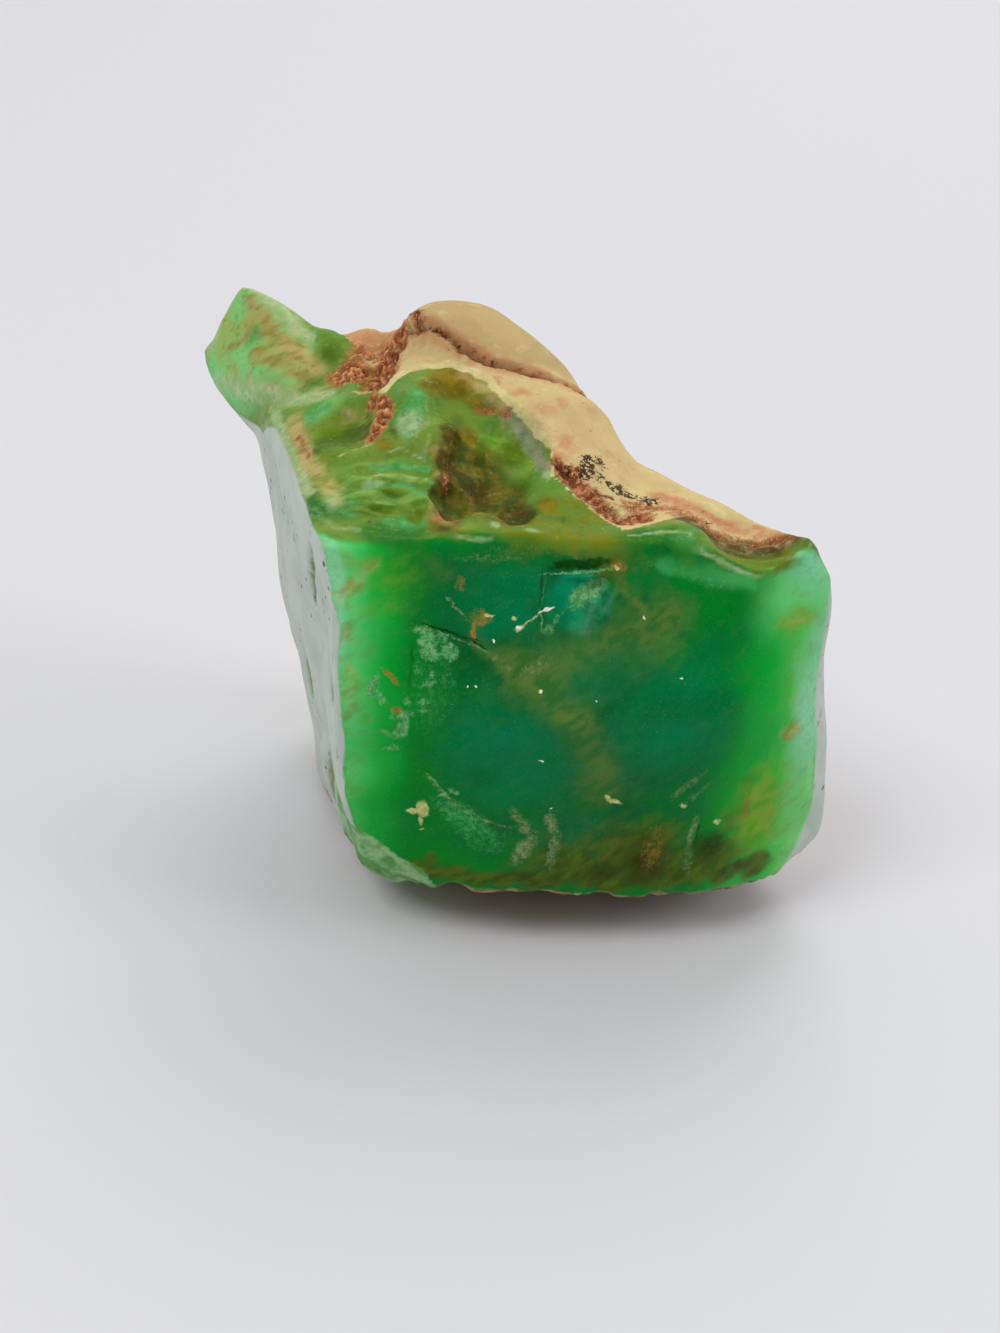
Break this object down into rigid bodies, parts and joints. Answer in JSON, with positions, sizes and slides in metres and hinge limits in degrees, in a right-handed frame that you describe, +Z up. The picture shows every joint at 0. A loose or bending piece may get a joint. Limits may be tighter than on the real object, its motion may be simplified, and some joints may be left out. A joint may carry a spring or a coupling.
{
  "type": "raw chrysoprase stone",
  "caption": "Rough lump of green chrysoprase with glassy fracture faces, a pale left skin, a cream cortex dome and a horn, resting on a worn flat underside.",
  "frame": {"origin": "centre of the bounding box at the level the stone rests on", "axes": "+Z up, +X to the right along the glassy front face, -Y towards the front"},
  "size_m": [0.0638, 0.0464, 0.0476],
  "materials": {
    "chrysoprase": "glassy fracture with matte cortex"
  },
  "bodies": {
    "root": {"chrysoprase": "chrysoprase"}
  },
  "joints": []
}
